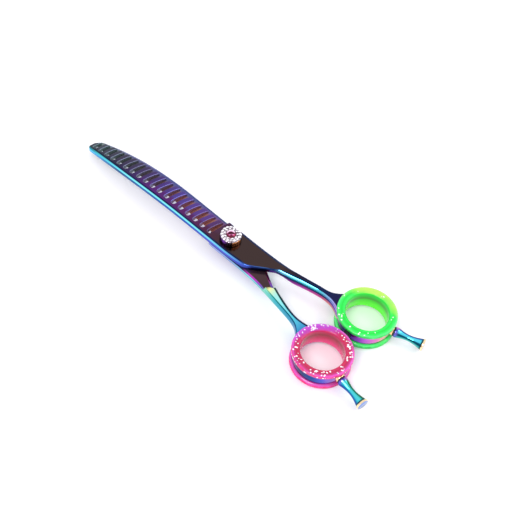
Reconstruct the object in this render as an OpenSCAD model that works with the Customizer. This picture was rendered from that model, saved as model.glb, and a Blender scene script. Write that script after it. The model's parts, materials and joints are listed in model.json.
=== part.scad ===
// Curved thinning shears, closed and lying on a table.
// The shears are drawn in their own frame: the pivot axis is Z, the blades
// meet at z = 0 and point along +X. lay() then sets them down on the table.

/* [Blades] */
// Distance from the pivot to the blade tips, along X
tip_x = 93; // [92:0.5:96]
// Width of the closed blades from spine to spine
closed_w = 14.8; // [14.6:0.2:15.4]
// Thickness of each blade
blade_t = 2.4; // [2.2:0.1:2.6]
// Gap between the two flat riding faces
ride_gap = 0.12; // [0.1:0.01:0.2]
// Distance from the pivot at which the blades start to bend down
bend_x = 28; // [24:1:34]
// Radius of the downward bend
bend_r = 232; // [220:4:300]
// Radius of the in-plane taper of the spines towards the tips
taper_r = 330; // [300:10:450]

/* [Teeth] */
// Number of slots between the teeth
slot_count = 18; // [12:1:18]
// Distance from one slot to the next
slot_pitch = 4.72; // [4.5:0.02:4.72]
// Width of a slot
slot_w = 2.3; // [1.8:0.1:2.4]
// Distance from the pivot to the root of the first slot
first_slot_x = 9.6; // [9.4:0.1:9.8]
// Radius of the arc that each slot follows
slot_arc_r = 40; // [30:5:80]

/* [Finger rings] */
// Inner radius of each metal ring
ring_in_r = 10.8; // [10.6:0.1:11]
// Outer radius of each metal ring
ring_out_r = 12.3; // [12.1:0.1:12.6]
// Height of the metal rings and of the shanks
ring_h = 4.4; // [4.2:0.1:4.5]
// Radius of the finger hole through each insert
finger_r = 9.5; // [9:0.1:9.8]
// Outer radius of the insert flanges
flange_r = 13.3; // [13.1:0.1:13.5]
// Height of each insert
insert_h = 9; // [8:0.2:10]
// Distance from the ring centre to the end of a finger rest
rest_reach = 27.4; // [26:0.2:30]

/* [Pivot and dial] */
// Radius of the pivot screw's shank
screw_r = 2; // [1.8:0.1:2.2]
// Outer radius of the tension dial
dial_r = 5; // [5:0.1:5.4]
// Height of the dial's rim above the riding faces
dial_top = 6; // [5.9:0.1:6.4]
// Number of flutes around the dial
flute_count = 24; // [16:1:30]
// Number of small stones in the inner row
inner_stones = 10; // [8:1:10]
// Number of small stones in the outer row
outer_stones = 16; // [12:1:16]

/* [Hidden] */

round_fn = 96;      // facets of small round things
bend_fn = 720;      // facets of the large bend cylinders
eps = 0.01;

// Ring centres and the directions of their finger rests
green_ring = [-69, -13.3];
pink_ring = [-68.4, 15.5];
green_rest_dir = 196;
pink_rest_dir = 169;

// Blades
spine_y = closed_w / 2;
face_z = ride_gap / 2;              // riding face of the toothed half
back_z = face_z + blade_t;          // outer face of the toothed half
taper_x = 50;                       // where the spines start to taper
slot_root_y = 3.7;
teeth_y = -5.4;                     // line of the tooth tips
plain_edge_y = 1;                   // cutting edge of the plain blade
heel_x = 8;                         // end of the ricasso, at the heel of the blade
slot_sweep = asin(12 / slot_arc_r); // angle of arc cut for each slot
edge_follow = 0.45;                 // share of the spine's taper that slot roots follow
teeth_follow = 0.9;                 // share that the line of the tooth tips follows

// Pivot stack, upwards from the riding faces
fit = 0.03;                         // running clearance on the screw
bushing_r = 3;
washer_r = 4.15;
washer_half_t = 0.3;
stack_r = 4.2;                      // outer radius of the click plate
nylon_t = 0.4;
spring_h = 0.5;
plate_t = 0.4;
nylon_z = back_z;
spring_z = nylon_z + nylon_t;
plate_z = spring_z + spring_h;
dial_floor_z = plate_z + plate_t + 0.08;
cup_floor_z = dial_top - 0.7;
cup_r = dial_r - 0.45;
cup_t = 0.55;
head_r = 3.5;
head_z = 1.46;                      // depth of the screw head's seat below z = 0
head_h = 1.25;
centre_stone_r = 2;
inner_stone_r = 0.58;
outer_stone_r = 0.62;
inner_row_r = 2.7;
outer_row_r = 3.86;
stone_sink = 0.3;                   // depth of the pockets in the cup

// Bumper between the rings, on the line that joins their centres
bumper_dir = atan2(pink_ring[1] - green_ring[1], pink_ring[0] - green_ring[0]);
bumper_in = 11.4;                   // distance of the stem's inner end
bumper_stem_r = 0.9;
bumper_r = 2;
bumper_end = 15.2;

// Finger rests
boss_r = 2.1;
boss_end = 13.3;                    // distance of the boss's end from the ring centre
stud_r = 1.2;
stud_in = 11.4;                     // distance of the stud's inner end
rest_washer_t = 0.6;
rest_base_r = 2.4;
rest_waist_r = 1.35;
rest_disc_r = 2.85;

// Attitude at rest: the tip and the inserts' rear edges touch the table
under_r = bend_r - back_z;          // radius of the plain blade's underside
tip_under_z = -bend_r + sqrt(pow(under_r, 2) - pow(tip_x - bend_x, 2));
heel_rest = [green_ring[0] - flange_r, -insert_h / 2];
lie_angle = atan((heel_rest[1] - tip_under_z) / (tip_x - heel_rest[0]));
lift = -(heel_rest[0] * sin(lie_angle) + heel_rest[1] * cos(lie_angle));
front_x = tip_x * cos(lie_angle) - tip_under_z * sin(lie_angle);
rear_x = (green_ring[0] + rest_reach * cos(green_rest_dir)
          + rest_disc_r * cos(green_rest_dir - 90)) * cos(lie_angle);
mid_y = (green_ring[1] + pink_ring[1]) / 2;

module lay() {
    translate([-(front_x + rear_x) / 2, -mid_y, lift])
        rotate([0, -lie_angle, 0])
            children();
}

// ---- blades ---------------------------------------------------------------

// Half-width of the tapering spine at x
function taper_y(x) =
    spine_y - (taper_r - sqrt(pow(taper_r, 2) - pow(max(x - taper_x, 0), 2)));

// Outline of a blade: spine on +Y, edge at edge_y. The edge follows the taper
// of the spine by the share edge_taper, and tip_cut slants the tip corner.
module blade_outline(edge_y, edge_taper, tip_cut) {
    taper_steps = 8;
    corner_r = 1.6;
    function step_x(i) = taper_x + (tip_x - tip_cut[0] - taper_x) * i / taper_steps;
    function edge(x) = edge_y + edge_taper * (spine_y - taper_y(x));
    polygon(concat(
        [[heel_x - 1, edge_y], [heel_x - 1, spine_y]],
        [for (i = [0 : taper_steps]) [step_x(i), taper_y(step_x(i))]],
        [for (a = [75 : -15 : 0])
            [tip_x - corner_r * (1 - cos(a)), taper_y(tip_x) - corner_r * (1 - sin(a))]],
        [[tip_x, edge(tip_x) + tip_cut[1]]],
        [for (i = [taper_steps : -1 : 0]) [step_x(i), edge(step_x(i))]]
    ));
}

// Plate of the child outline between the heights z0 and z1, bent down past bend_x
module bent_plate(z0, z1) {
    deep = 60;
    side = spine_y + 1;
    translate([0, 0, z0])
        linear_extrude(height = z1 - z0)
            intersection() {
                children();
                translate([heel_x - 2, -side])
                    square([bend_x - heel_x + 2, side * 2]);
            }
    intersection() {
        translate([0, 0, -deep])
            linear_extrude(height = deep * 2)
                children();
        translate([bend_x, side, -bend_r])
            rotate([90, 0, 0])
                difference() {
                    cylinder(r = bend_r + z1, h = side * 2, $fn = bend_fn);
                    translate([0, 0, -1])
                        cylinder(r = bend_r + z0, h = side * 2 + 2, $fn = bend_fn);
                }
        translate([bend_x, -side, -deep])
            cube([tip_x - bend_x + 5, side * 2, deep * 2]);
    }
}

// Slot that runs from its root towards the tooth tips and curves to the heel
module slot(x) {
    translate([x, slot_root_y - edge_follow * (spine_y - taper_y(x)), -30]) {
        cylinder(r = slot_w / 2 + 0.1, h = 40, $fn = round_fn);
        translate([-slot_arc_r, 0, 0])
            rotate([0, 0, -slot_sweep])
                rotate_extrude(angle = slot_sweep, $fn = round_fn)
                    translate([slot_arc_r - slot_w / 2, 0])
                        square([slot_w, 40]);
    }
}

// ---- ricassos, shanks and rings ---------------------------------------------

// Flat ricasso around the pivot, spine on +Y, running to the root of the shank
module ricasso_outline() {
    polygon([
        [heel_x, -6.7], [heel_x, spine_y], [2, 7.3], [-8, 6.9], [-14.8, 6.1], [-16.5, 5.1],
        [-29.3, -4.4], [-31.5, -5], [-31.5, -7.9], [-28, -7.3], [-24, -6.9], [-12, -6.6]
    ]);
}

// Full-height shank outlines, from the step at the ricasso to the ring. The
// ring's bore is cut later.
module green_shank_outline() {
    polygon([
        [-29.5, -7.5], [-40, -9.6], [-46, -10.7], [-50, -11.6], [-53.5, -14], [-57.2, -18.2],
        [-60, -13.3], [-59, -5.6], [-55.5, -7.1], [-52, -7.8], [-47.7, -7.7], [-42.7, -6.7],
        [-38, -5.5], [-33.2, -4.1], [-30, -3.3], [-26.8, -2.4]
    ]);
}

module pink_shank_outline() {
    polygon([
        [-31, 4.4], [-33, 4.9], [-37, 6.1], [-41, 7.4], [-45, 8.5], [-48.3, 9.1], [-51.5, 9],
        [-55, 8.2], [-58.5, 8.3], [-60, 15.5], [-57.2, 20.6], [-54, 15.4], [-51, 13.2],
        [-48, 11.9], [-45, 11.1], [-40, 10.1], [-32, 8.8], [-28.2, 7.9]
    ]);
}

// Points a cylinder-like child along a direction in the ring's plane
module radial(centre, dir) {
    translate([centre[0], centre[1], 0])
        rotate([0, 0, dir])
            rotate([0, 90, 0])
                children();
}

// Metal ring with the boss for its finger rest
module ring_body(centre, rest_dir) {
    translate([centre[0], centre[1], -ring_h / 2])
        cylinder(r = ring_out_r, h = ring_h, $fn = round_fn);
    radial(centre, rest_dir)
        translate([0, 0, ring_in_r + 1])
            cylinder(r = boss_r, h = boss_end - ring_in_r - 1, $fn = round_fn);
}

module ring_bores(centre, rest_dir) {
    translate([centre[0], centre[1], -ring_h])
        cylinder(r = ring_in_r, h = ring_h * 2, $fn = round_fn);
    radial(centre, rest_dir)
        translate([0, 0, stud_in - 0.1])
            cylinder(r = stud_r + 0.05, h = boss_end, $fn = round_fn);
}

module toothed_half() {
    color([0.2, 0.12, 0.3])
        difference() {
            union() {
                bent_plate(face_z, back_z)
                    blade_outline(teeth_y, teeth_follow, [2.6, 2.6]);
                translate([0, 0, face_z])
                    linear_extrude(height = blade_t)
                        ricasso_outline();
                translate([0, 0, -ring_h / 2])
                    linear_extrude(height = ring_h)
                        green_shank_outline();
                ring_body(green_ring, green_rest_dir);
            }
            for (i = [0 : slot_count - 1])
                slot(first_slot_x + i * slot_pitch);
            cylinder(r = bushing_r, h = 10, $fn = round_fn);
            cylinder(r = washer_r + 0.1, h = washer_half_t + 0.02, $fn = round_fn);
            ring_bores(green_ring, green_rest_dir);
            radial(green_ring, bumper_dir)
                translate([0, 0, bumper_in - 0.1])
                    cylinder(r = bumper_stem_r + 0.05, h = 6, $fn = round_fn);
        }
}

module plain_half() {
    color([0.1, 0.35, 0.6])
        difference() {
            union() {
                mirror([0, 1, 0]) {
                    bent_plate(-back_z, -face_z)
                        blade_outline(-plain_edge_y, edge_follow, [2.2, 1.5]);
                    translate([0, 0, -back_z])
                        linear_extrude(height = blade_t)
                            ricasso_outline();
                }
                translate([0, 0, -ring_h / 2])
                    linear_extrude(height = ring_h)
                        pink_shank_outline();
                ring_body(pink_ring, pink_rest_dir);
            }
            translate([0, 0, -5])
                cylinder(r = screw_r + 0.02, h = 10, $fn = round_fn);
            translate([0, 0, -washer_half_t])
                cylinder(r = washer_r + 0.1, h = 1, $fn = round_fn);
            translate([0, 0, -head_z - 5])
                cylinder(r = head_r + 0.05, h = 5, $fn = round_fn);
            ring_bores(pink_ring, pink_rest_dir);
        }
}

// ---- pivot and dial ---------------------------------------------------------

module pivot_screw() {
    slot_size = [0.9, 8, 0.6];
    color([0.25, 0.2, 0.35])
        difference() {
            union() {
                translate([0, 0, -head_z - head_h])
                    cylinder(r = head_r, h = head_h, $fn = round_fn);
                translate([0, 0, -head_z - 0.5])
                    cylinder(r = screw_r, h = head_z + 0.5 + cup_floor_z - 0.4, $fn = round_fn);
            }
            translate([-slot_size[0] / 2, -slot_size[1] / 2, -head_z - head_h - eps])
                cube(slot_size);
        }
}

// Flat ring between two radii and two heights
module ring_plate(r_in, r_out, z0, z1) {
    translate([0, 0, z0])
        difference() {
            cylinder(r = r_out, h = z1 - z0, $fn = round_fn);
            translate([0, 0, -1])
                cylinder(r = r_in, h = z1 - z0 + 2, $fn = round_fn);
        }
}

module pivot_bushing() {
    color("goldenrod")
        ring_plate(screw_r + fit, bushing_r - 0.01, washer_half_t + 0.04, back_z - 0.02);
}

module glide_washer() {
    color("ivory")
        ring_plate(screw_r + 0.04, washer_r, -washer_half_t, washer_half_t);
}

module nylon_washer() {
    color("ivory")
        ring_plate(screw_r + 0.1, stack_r - 0.1, nylon_z, nylon_z + nylon_t);
}

module spring_washer() {
    inner = screw_r + 0.3;
    outer = stack_r - 0.2;
    sheet = 0.2;
    color("silver")
        translate([0, 0, spring_z])
            rotate_extrude($fn = round_fn)
                polygon([[outer, 0], [outer, sheet], [inner, spring_h], [inner, spring_h - sheet]]);
}

module click_plate() {
    notches = 12;
    color("silver")
        difference() {
            ring_plate(screw_r + 0.1, stack_r, plate_z, plate_z + plate_t);
            for (i = [0 : notches - 1])
                rotate([0, 0, i * 360 / notches])
                    translate([3.4, 0, plate_z - 1])
                        cylinder(r = 0.4, h = 2, $fn = 24);
        }
}

module tension_dial() {
    skirt_z = back_z + 0.12;
    flute_r = 0.42;
    color([0.25, 0.15, 0.2])
        difference() {
            translate([0, 0, skirt_z])
                cylinder(r = dial_r, h = dial_top - skirt_z, $fn = round_fn);
            translate([0, 0, skirt_z - 1])
                cylinder(r = stack_r + 0.2, h = dial_floor_z - skirt_z + 1, $fn = round_fn);
            translate([0, 0, skirt_z])
                cylinder(r = screw_r + fit, h = dial_top, $fn = round_fn);
            translate([0, 0, cup_floor_z])
                cylinder(r = cup_r + 0.02, h = 5, $fn = round_fn);
            for (i = [0 : flute_count - 1])
                rotate([0, 0, (i + 0.5) * 360 / flute_count])
                    translate([dial_r + 0.12, 0, skirt_z - 1])
                        cylinder(r = flute_r, h = dial_top, $fn = 24);
        }
}

// Places children at even steps around a row of stones
module stone_row(count, row_r) {
    for (i = [0 : count - 1])
        rotate([0, 0, i * 360 / count])
            translate([row_r, 0, cup_floor_z + cup_t - stone_sink])
                children();
}

module jewel_cup() {
    color("silver")
        difference() {
            translate([0, 0, cup_floor_z])
                cylinder(r = cup_r, h = cup_t, $fn = round_fn);
            translate([0, 0, cup_floor_z + cup_t - stone_sink])
                cylinder(r = centre_stone_r + 0.02, h = 2, $fn = round_fn);
            stone_row(inner_stones, inner_row_r)
                cylinder(r = inner_stone_r + 0.02, h = 2, $fn = 24);
            stone_row(outer_stones, outer_row_r)
                cylinder(r = outer_stone_r + 0.02, h = 2, $fn = 24);
        }
}

// Stone with a straight girdle and a sloped crown under a flat table
module stone(r, crown) {
    girdle = stone_sink + 0.15;
    cylinder(r = r, h = girdle, $fn = 32);
    translate([0, 0, girdle])
        cylinder(r1 = r, r2 = r * 0.55, h = crown, $fn = 32);
}

module centre_crystal() {
    color("mediumvioletred")
        translate([0, 0, cup_floor_z + cup_t - stone_sink])
            stone(centre_stone_r, 0.75);
}

module inner_crystals() {
    color("white")
        stone_row(inner_stones, inner_row_r)
            stone(inner_stone_r, 0.3);
}

module outer_crystals() {
    color("white")
        stone_row(outer_stones, outer_row_r)
            stone(outer_stone_r, 0.3);
}

// ---- inserts, finger rests and bumper -----------------------------------------

// Spool-shaped insert: a barrel in the metal ring and a flange on each side
module insert(centre) {
    barrel_r = ring_in_r - 0.02;
    flange_z = ring_h / 2 + 0.03;
    edge = 0.6;
    slope = 0.9;
    top = insert_h / 2;
    translate([centre[0], centre[1], 0])
        rotate_extrude($fn = round_fn)
            polygon([
                [finger_r, -top], [flange_r - edge, -top], [flange_r, -top + edge],
                [flange_r, -flange_z - slope], [ring_out_r - 0.1, -flange_z],
                [barrel_r, -flange_z], [barrel_r, flange_z], [ring_out_r - 0.1, flange_z],
                [flange_r, flange_z + slope], [flange_r, top - edge], [flange_r - edge, top],
                [finger_r, top]
            ]);
}

module green_insert() {
    color([0.3, 0.9, 0.3, 0.8]) insert(green_ring);
}

module pink_insert() {
    color([1, 0.25, 0.6, 0.8]) insert(pink_ring);
}

// Finger rest turned about its own axis, from the stud to the end disc
module finger_rest(centre, dir) {
    start = boss_end + rest_washer_t;
    radial(centre, dir)
        rotate_extrude($fn = 64)
            polygon([
                [0, stud_in], [stud_r, stud_in], [stud_r, start], [rest_base_r, start],
                [rest_base_r - 0.1, start + 1], [1.8, start + 2.6],
                [rest_waist_r, start + 5.2], [rest_waist_r + 0.1, start + 7.6],
                [1.85, start + 9.9], [rest_disc_r - 0.3, rest_reach - 1],
                [rest_disc_r, rest_reach - 0.7], [rest_disc_r, rest_reach], [0, rest_reach]
            ]);
}

module green_finger_rest() {
    color("darkcyan") finger_rest(green_ring, green_rest_dir);
}

module pink_finger_rest() {
    color("darkcyan") finger_rest(pink_ring, pink_rest_dir);
}

module rest_washer(centre, dir) {
    radial(centre, dir)
        ring_plate(stud_r + 0.02, boss_r, boss_end, boss_end + rest_washer_t);
}

module green_rest_washer() {
    color([0.15, 0.15, 0.15]) rest_washer(green_ring, green_rest_dir);
}

module pink_rest_washer() {
    color([0.15, 0.15, 0.15]) rest_washer(pink_ring, pink_rest_dir);
}

module ring_bumper() {
    color([0.15, 0.15, 0.15])
        radial(green_ring, bumper_dir) {
            translate([0, 0, bumper_in])
                cylinder(r = bumper_stem_r, h = ring_out_r + 1 - bumper_in, $fn = round_fn);
            translate([0, 0, ring_out_r + 0.02])
                cylinder(r = bumper_r, h = bumper_end - ring_out_r - 0.4, $fn = round_fn);
            translate([0, 0, bumper_end - 0.38])
                cylinder(r1 = bumper_r, r2 = bumper_r - 0.4, h = 0.38, $fn = round_fn);
        }
}

lay() toothed_half();
lay() plain_half();
lay() pivot_screw();
lay() pivot_bushing();
lay() glide_washer();
lay() nylon_washer();
lay() spring_washer();
lay() click_plate();
lay() tension_dial();
lay() jewel_cup();
lay() centre_crystal();
lay() inner_crystals();
lay() outer_crystals();
lay() green_insert();
lay() pink_insert();
lay() green_finger_rest();
lay() pink_finger_rest();
lay() green_rest_washer();
lay() pink_rest_washer();
lay() ring_bumper();
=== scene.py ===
import json
import math
import random

import bpy
import numpy as np
from mathutils import Matrix, Vector
from mathutils.geometry import delaunay_2d_cdt


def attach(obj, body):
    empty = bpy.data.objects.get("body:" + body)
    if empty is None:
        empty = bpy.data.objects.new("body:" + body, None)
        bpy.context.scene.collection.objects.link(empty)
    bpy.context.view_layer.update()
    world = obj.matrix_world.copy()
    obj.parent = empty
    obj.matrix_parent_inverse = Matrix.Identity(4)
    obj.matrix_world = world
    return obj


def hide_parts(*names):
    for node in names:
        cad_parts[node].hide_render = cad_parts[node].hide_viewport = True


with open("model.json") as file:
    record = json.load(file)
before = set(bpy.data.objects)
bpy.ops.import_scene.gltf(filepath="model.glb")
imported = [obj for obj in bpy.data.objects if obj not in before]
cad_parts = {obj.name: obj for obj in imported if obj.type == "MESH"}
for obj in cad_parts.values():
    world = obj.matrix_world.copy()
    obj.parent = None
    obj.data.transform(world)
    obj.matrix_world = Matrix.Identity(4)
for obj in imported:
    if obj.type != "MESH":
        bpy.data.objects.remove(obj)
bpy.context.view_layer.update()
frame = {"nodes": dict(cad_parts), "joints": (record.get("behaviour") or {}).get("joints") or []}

# ---- sizes in millimetres, in the shears' own frame ----
# The pivot axis is Z, the blades meet at z = 0 and point along +X.

MM = 0.001
TIP_X = 93
FACE_Z = 0.06  # riding face
BACK_Z = 2.46  # outer face
SHANK_Z = 2.2  # half the height of the shanks and rings
STEP_X = -20  # the plain half's step to its shank is behind here
STEP_GUARD = 1.2  # no inner points this close to the step
BEND_X = 28  # the blades bend down past here
BEND_R = 232
TAPER_X = 50  # the spines taper past here
TAPER_R = 330

SLOTS = 18
SLOT_PITCH = 4.72
SLOT_HALF = 1.15  # half the width of a slot
SLOT_X = 9.6  # root of the first slot
SLOT_ARC = 40  # radius of a slot's middle line
ROOT_Y = 3.7
TEETH_Y = -5.4  # ends of the teeth
HEEL_Y = -6.7  # edge of the ricasso behind the first slot
EDGE_Y = -1.5  # cutting edge of the plain blade

SCREW_R = 2.02
BUSHING_R = 3
WASHER_R = 4.25  # recess of the glide washer
WASHER_Z = 0.36
RING_IN = 10.8
RING_OUT = 12.3
GREEN_RING = (-69, -13.3)
PINK_RING = (-68.4, 15.5)
PINK_DRAWN = (-68.4, -15.5)  # before the plain half is turned over
GREEN_REST = 196  # directions of the finger rests, in degrees
PINK_REST = 169
BOSS_END = 13.3
REST_REACH = 27.4
DIAL_TOP = 5.3


def row_matrices():
    """Shift and turn from the shears' own frame, in metres, to the row frame."""
    pivot = next(j for j in frame["joints"] if j["name"] == "blade_pivot")
    up = Vector(pivot["axis"]).normalized()
    across = Vector((0, 1, 0))
    turn = Matrix((across.cross(up), across, up)).transposed().to_4x4()
    return Matrix.Translation(Vector(pivot["pos_m"])), turn


SHIFT, TURN = row_matrices()
ROW = SHIFT @ TURN


def smooth_step(t):
    t = min(max(t, 0), 1)
    return t * t * (3 - 2 * t)


def taper(x):
    return TAPER_R - math.sqrt(TAPER_R ** 2 - max(x - TAPER_X, 0) ** 2)


def spine_y(x):
    return 7.25 + 0.2 * math.exp(-((x - 42) / 16) ** 2) - taper(x)


def bent(p):
    """A point of the straight shears after the blades are bent down."""
    x, y, z = p
    if x > BEND_X:
        z = math.sqrt((BEND_R + z) ** 2 - (x - BEND_X) ** 2) - BEND_R
    return x, y, z


# ---- mesh helpers ----


def add(name, data):
    """A new object in the scene."""
    made = bpy.data.objects.new(name, data)
    bpy.context.scene.collection.objects.link(made)
    return made


def mesh_object(name, vertices, faces, materials, indices=None, sharp=30, place=None):
    """A mesh from points in mm, set down in the row frame."""
    mesh = bpy.data.meshes.new(name)
    mesh.from_pydata([[c * MM for c in v] for v in vertices], [], faces)
    if not place:
        mesh.transform(TURN)
    for m in materials:
        mesh.materials.append(m)
    if indices:
        mesh.polygons.foreach_set("material_index", indices)
    mesh.validate()
    mesh.polygons.foreach_set("use_smooth", [True] * len(mesh.polygons))
    mesh.set_sharp_from_angle(angle=math.radians(sharp))
    mesh.update()
    piece = add(name, mesh)
    piece.matrix_world = ROW @ place if place else SHIFT
    return piece


def curve_through(points, step):
    """Points about a step apart on a smooth curve through the given ones."""
    p = [Vector(q) for q in points]
    p = [2 * p[0] - p[1]] + p + [2 * p[-1] - p[-2]]
    out = []
    for a, b, c, d in zip(p, p[1:], p[2:], p[3:]):
        n = max(1, round((c - b).length / step))
        for i in range(n):
            t = i / n
            out.append(0.5 * (2 * b + (c - a) * t + (2 * a - 5 * b + 4 * c - d) * t ** 2
                              + (3 * b - a - 3 * c + d) * t ** 3))
    out.append(p[-2])
    return [tuple(q) for q in out]


def arc(centre, r, start, end, steps):
    """Points on an arc, with angles in degrees."""
    turn = [math.radians(start + (end - start) * i / steps) for i in range(steps + 1)]
    return [(centre[0] + r * math.cos(a), centre[1] + r * math.sin(a)) for a in turn]


def band(low, high):
    """Faces between two closed rows of as many points."""
    n = len(low)
    return [[low[i], low[(i + 1) % n], high[(i + 1) % n], high[i]] for i in range(n)]


def lathe(profile, segments):
    """Vertices and faces of (radius, height) points turned about Z."""
    vertices, faces, rows = [], [], []
    for r, z in profile:
        if r < 1e-6:
            rows.append([len(vertices)] * segments)
            vertices.append((0, 0, z))
        else:
            rows.append(range(len(vertices), len(vertices) + segments))
            turns = [math.tau * i / segments for i in range(segments)]
            vertices += [(r * math.cos(a), r * math.sin(a), z) for a in turns]
    for low, high in zip(rows, rows[1:]):
        faces += [[v for k, v in enumerate(q) if v != q[k - 1]] for q in band(low, high)]
    return vertices, faces


# ---- outlines of the halves ----
# Each half is drawn with its spine on +Y and its ring on -Y. The plain half is
# then turned half a turn about X. An outline runs anticlockwise, and each point
# has the name of the stretch that it is on.


def spine_edge():
    """The rounded corner of the tip and the spine behind it."""
    r, pitch, count = 1.6, 1.1, 86
    corner = arc((TIP_X - r, spine_y(TIP_X) - r), r, 0, 72, 6)
    xs = [90.6 - i * pitch for i in range(count)]
    return [(x, y, "tip") for x, y in corner] + [(x, spine_y(x), "spine") for x in xs]


def stretch(zone, gap, points):
    """A curved stretch of an outline, with its name and points about gap apart."""
    return [(x, y, zone) for x, y in curve_through(points, gap)]


def ring_arc(centre, start, end):
    return [(x, y, "ring") for x, y in arc(centre, RING_OUT, start, end, 60)]


def ricasso_cut():
    """The oblique end of the ricasso, alike on both halves."""
    return stretch("cut", 0.8, [(-5.2, 7.15), (-10, 6.8), (-14, 6.2), (-16.6, 4.95),
                                (-19.2, 3.1), (-22.3, 0.6)])


def toothed_outline():
    inner = stretch("inner", 0.8, [
        (-23.1, 0), (-26, -1.9), (-29.5, -3.05), (-33.2, -4.05), (-38, -5.5), (-42.7, -6.7),
        (-47.7, -7.65), (-50.7, -7.85), (-53.5, -7.6), (-56.4, -6.6), (-58.9, -5.1)])
    outer = stretch("outer", 0.9, [
        (-57.2, -18.1), (-55.4, -15.9), (-53.2, -13.6), (-50.6, -11.8), (-48, -11.1),
        (-44.7, -10.6), (-39.7, -9.6), (-34.7, -8.6), (-29.6, -7.7), (-24, -7), (-12, -6.65),
        (0, -6.65), (5.6, HEEL_Y)])
    return (spine_edge() + ricasso_cut() + inner + ring_arc(GREEN_RING, 46, 330) + outer
            + comb_edge())


def wall_point(cx, cy, r, y):
    """The point at height y on the slot wall of radius r."""
    return cx - SLOT_ARC + math.sqrt(r * r - (cy - y) ** 2), y


def comb_edge():
    """The toothed edge from the heel to the tip."""
    points = []
    for i in range(SLOTS):
        cx = SLOT_X + i * SLOT_PITCH
        cy = ROOT_Y - 0.45 * taper(cx)
        line = TEETH_Y + 0.9 * taper(cx)
        start = HEEL_Y if i == 0 else line
        end = -2.6 if i == SLOTS - 1 else line
        steps = 9
        near = [wall_point(cx, cy, SLOT_ARC - SLOT_HALF, start + (cy - start) * k / steps)
                for k in range(steps)]
        root = arc((cx, cy), SLOT_HALF, 180, 0, 10)
        far = [wall_point(cx, cy, SLOT_ARC + SLOT_HALF, cy + (end - cy) * k / steps)
               for k in range(1, steps + 1)]
        points += [(x, y, "slot") for x, y in near + root + far]
    return points + [(91.9, -1.5, "tip"), (TIP_X, 0.1, "tip"), (TIP_X, 1.6, "tip")]


def plain_outline():
    inner = stretch("inner", 0.8, [
        (-23.1, 0), (-25.6, -1.4), (-28.6, -3), (-31.2, -4.3), (-33.5, -5), (-37, -6.1),
        (-41, -7.4), (-45, -8.5), (-48.5, -9.1), (-51.5, -9.1), (-55, -8.6), (-58, -7.9)])
    outer = stretch("outer", 0.9, [
        (-56.4, -19.7), (-54.9, -17.2), (-52.6, -14.6), (-50.2, -12.9), (-46.6, -11.7),
        (-42, -10.8), (-37.5, -10), (-33, -9.2), (-29, -8.5), (-25, -7.7), (-20, -7.2),
        (-12, -6.95), (-4, -6.95), (5, -6.95), (7.2, -6.5), (8, -5.4), (8, -4), (8.3, -3),
        (9.2, -2.4)])
    edge = [(x, EDGE_Y - 0.75 * math.exp((10 - x) / 5) + 0.45 * taper(x), "edge")
            for x in np.arange(10.3, 90.5, 1.3).tolist()]
    return (spine_edge() + ricasso_cut() + inner + ring_arc(PINK_DRAWN, 44, 332) + outer
            + edge + [(91.4, 0.7, "tip"), (TIP_X, 1.9, "tip")])


# ---- the halves ----
# Stations across the edge of a half: a chamfer of the outer face, the wall and
# a chamfer of the riding face. Sizes are inset, depth and roundness of the first
# chamfer, then of the second.

CHAMFER_STEPS = 5
LAND = 0.3  # level strip inside each chamfer
HOLE_SEGMENTS = 72
GRID = 1.9  # spacing of the points inside the faces
GRID_CLEAR = 0.9  # their least distance from an edge

# Parts of a half, which are its first material slots, and the slots that follow.
FACE, CHAMFER, WALL, UNDER, RIDE = range(5)
SLOT_WALL, GREEN_WALL, GREEN_BOSS, RIM = range(5, 9)
PINK_WALL, PINK_BOSS, OUTER_EDGE, BLADE_EDGE, EDGE_GLINT = range(5, 10)


def toothed_sizes(x, zone):
    if zone == "spine" or (zone == "cut" and x > -13):
        return 1.35, 1.15, 1, 0.08, 0.08, 0
    if zone == "cut":
        return 0.7, 0.6, 1, 0.08, 0.08, 0
    if zone == "inner":
        grow = smooth_step((-23 - x) / 9)
        ease = smooth_step((-40 - x) / 8)
        return 0.3 + 1.4 * grow - 0.4 * ease, 0.3 + 2.1 * grow, grow, 0.08 + 0.8 * grow, \
            0.08 + 1.2 * grow, grow
    if zone == "ring":
        return 0.5, 0.5, 1, 0.5, 0.5, 1
    if zone == "outer":
        grow = smooth_step((-26 - x) / 8)
        return 1.1 - 0.3 * grow, 0.4 + 0.6 * grow, grow, 0.08 + 0.6 * grow, \
            0.08 + 0.9 * grow, grow
    return 0.2, 0.2, 0, 0.03, 0.03, 0


def plain_sizes(x, zone):
    if zone == "spine":
        return 0.9, 1.0, 0, 1.0, 0.5, 0
    if zone == "cut":
        return 0.9, 1.0, 0, 0.6, 0.4, 0
    if zone == "inner":
        grow = smooth_step((-29 - x) / 10)
        return 0.6 + 0.5 * grow, 0.6 + 0.8 * grow, grow, 1.1 + 0.5 * grow, \
            0.4 + 1.1 * grow, grow
    if zone == "ring":
        return 0.5, 0.5, 1, 0.5, 0.5, 1
    if zone == "outer":
        grow = smooth_step((-26 - x) / 6)
        return 0.5 + 0.7 * grow, 0.5 + 0.9 * grow, grow, 0.75 - 0.3 * grow, \
            0.5 - 0.1 * grow, grow
    if zone == "edge":
        return 2.6, 1.7, 0, 0.03, 0.03, 0
    return 0.3, 0.3, 0, 0.05, 0.05, 0


def inward_normals(points):
    """Unit steps inwards at each point, longer at corners so walls stay parallel."""
    p = np.array(points)
    along = np.roll(p, -1, 0) - p
    along /= np.linalg.norm(along, axis=1)[:, None]
    inward = np.stack([-along[:, 1], along[:, 0]], 1)
    both = inward + np.roll(inward, 1, 0)
    both /= np.linalg.norm(both, axis=1)[:, None]
    return both / np.clip((both * inward).sum(1), 0.75, 1)[:, None]


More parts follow.
